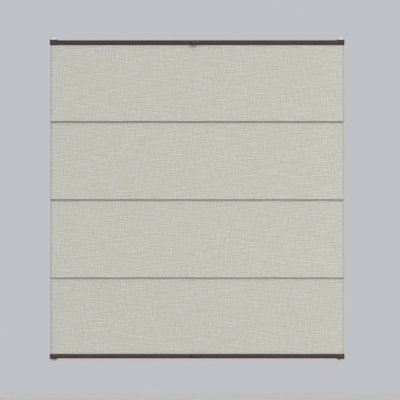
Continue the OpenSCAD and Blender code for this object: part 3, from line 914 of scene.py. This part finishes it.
# milky plastic of the clips, with flow marks
clipLook = {
    "first": (0.70, 0.71, 0.71),
    "second": (0.58, 0.59, 0.59),
    "noise": ((160.0, 160.0, 60.0), 4.0, 0.6),
    "span": (0.4, 0.75),
    "roughness": (0.30, 0.45),
    "bump": (0.15, 0.1 * mm),
    "shader": {"Specular IOR Level": 0.5, "Transmission Weight": 0.2, "IOR": 1.49},
}
grainedSet = {"glossSpan": (0.3, 0.7)}


# a finish whose colour, gloss and relief all follow one grain
def makeGrained(name, look):
    f = Finish(name)
    grain = f.noise(f.place(), *look["noise"])
    f.feed({
        **look["shader"],
        "Base Color": f.mix(f.step(grain, look["span"]), look["first"], look["second"]),
        "Roughness": f.step(grain, grainedSet["glossSpan"], look["roughness"]),
        "Normal": f.bump(grain, *look["bump"]),
    })
    return f


def dress(finish, *nodes):
    for name in nodes:
        data = bpy.data.objects[name].data
        data.materials.clear()
        data.materials.append(finish.material)


def dressFrame():
    ends, sides = ("top", "bottom"), ("left", "right")
    corners = ["%s_%s" % (e, s) for e in ends for s in sides]
    caps = ["%s_cap_%s" % (e, s) for e in ends for s in sides]
    dress(makeRailCoat(), "top_rail", "bottom_rail")
    dress(makeCapPlastic(), *caps, "top_handle", "bottom_handle")
    dress(makeWhite("paint"), *["bracket_" + c for c in corners])
    dress(makeWhite("plastic"), *["shoe_" + c for c in corners], "cord_beads")
    dress(makeGrained("zinc_steel", steelLook),
          "clamp_screws", "shoe_screws", "top_cord_bushes", "bottom_cord_bushes")
    dress(makeGrained("pad_rubber", rubberLook), "clamp_pads")
    dress(makeCord("side_cord_braid", "Z"), "side_cord_left", "side_cord_right")
    dress(makeCord("crossing_cord_braid", "X"), "top_crossing_cords", "bottom_crossing_cords")
    dress(makeGrained("rod_plastic", rodLook), "top_hem_strip", "bottom_hem_strip",
          *["fold_rod_%d" % k for k in folds], *["rod_tips_%d" % k for k in folds])
    dress(makeGrained("clip_plastic", clipLook), *["fold_clips_%d" % k for k in folds])
    print("finishes: %d materials" % len(bpy.data.materials))


dressFrame()


# studio: a pale floor well below the blind, pale surroundings, a soft key from the upper right and a fill
# a span is of the direction's rise, or of its turn away from the camera, from -1 to 1
studioSet = {
    "floorDrop": 0.9,
    "floorSize": 7.0,
    "floor": (0.56, 0.565, 0.575),
    "floorRoughness": 0.8,
    "mottleNoise": (6.0, 4.0, 0.5),
    "mottleSpan": (0.3, 0.7),
    "mottleTone": 0.97,
    "bounce": (0.32, 0.32, 0.315),    # what the floor throws back at the blind
    "surround": (0.52, 0.535, 0.56),
    "riseSpan": (-0.4, 0.7),
    "riseLevel": (0.28, 0.52),        # from below and from above
    "openSpan": (-0.25, 0.2),         # where the light from the front and the back sets in
    "frontSpan": (0.0, -0.9),
    "frontLevel": 0.83,
    "backSpan": (0.1, 0.9),
    "backLevel": 0.55,
    "keyTurn": 43.0,                  # degrees to the right of the camera
    "keyRise": 33.0,
    "keyStrength": 1.55,
    "keyAngle": 16.0,
    "fillPlace": (1.9, -2.4, -0.2),
    "fillSize": 1.6,
    "fillPower": 14.0,
}


def makeFloor():
    s = studioSet
    z = cadBox[0].z - s["floorDrop"]
    half = s["floorSize"] / 2
    data = bpy.data.meshes.new("floor")
    data.from_pydata([(x * half, y * half, z) for x, y in ((-1, -1), (1, -1), (1, 1), (-1, 1))], [],
                     [(0, 1, 2, 3)])
    floor = bpy.data.objects.new("floor", data)
    scene.collection.objects.link(floor)
    f = Finish("floor")
    mottle = f.noise(f.place(), *s["mottleNoise"])
    patch = tuple(c * s["mottleTone"] for c in s["floor"])
    pale = f.mix(f.step(mottle, s["mottleSpan"]), s["floor"], patch)
    f.feed({"Base Color": f.mix(f.shown(), s["bounce"], pale), "Roughness": s["floorRoughness"]})
    data.materials.append(f.material)
    print("studio: floor at %.2f m" % z)


def makeWorld():
    s = studioSet
    world = bpy.data.worlds.new("studio")
    world.use_nodes = True
    scene.world = world
    w = Nodes(world.node_tree)
    _, away, up = w.parts(w.node("ShaderNodeTexCoord", {}, {}, "Generated"))
    openAir = w.step(up, s["openSpan"])
    level = w.step(up, s["riseSpan"], s["riseLevel"])
    level = level + w.step(away, s["frontSpan"]) * openAir * s["frontLevel"]
    level = level + w.step(away, s["backSpan"]) * openAir * s["backLevel"]
    light = w.node("ShaderNodeBackground", {}, {"Strength": level}, "Background")
    surround = {"Color": (*s["surround"], 1.0), "Strength": 1.0}
    shown = w.node("ShaderNodeBackground", {}, surround, "Background")
    pick = w.node("ShaderNodeMixShader", {}, {0: w.shown(), 1: light, 2: shown}, "Shader")
    w.join(pick, world.node_tree.nodes["World Output"].inputs["Surface"])


def makeLamps():
    s = studioSet
    sun = bpy.data.lights.new("key", "SUN")
    sun.energy = s["keyStrength"]
    sun.angle = math.radians(s["keyAngle"])
    key = bpy.data.objects.new("key", sun)
    turn, rise = math.radians(s["keyTurn"]), math.radians(s["keyRise"])
    towards = Vector((math.sin(turn) * math.cos(rise), -math.cos(turn) * math.cos(rise), math.sin(rise)))
    key.rotation_euler = towards.to_track_quat("Z", "Y").to_euler()
    scene.collection.objects.link(key)
    soft = bpy.data.lights.new("fill", "AREA")
    soft.energy = s["fillPower"]
    soft.size = s["fillSize"]
    fill = bpy.data.objects.new("fill", soft)
    fill.location = s["fillPlace"]
    aim = Vector(s["fillPlace"]) - Vector((0, 0, cameraSet["aimZ"]))
    fill.rotation_euler = aim.to_track_quat("Z", "Y").to_euler()
    scene.collection.objects.link(fill)


makeFloor()
makeWorld()
makeLamps()

bpy.context.view_layer.update()
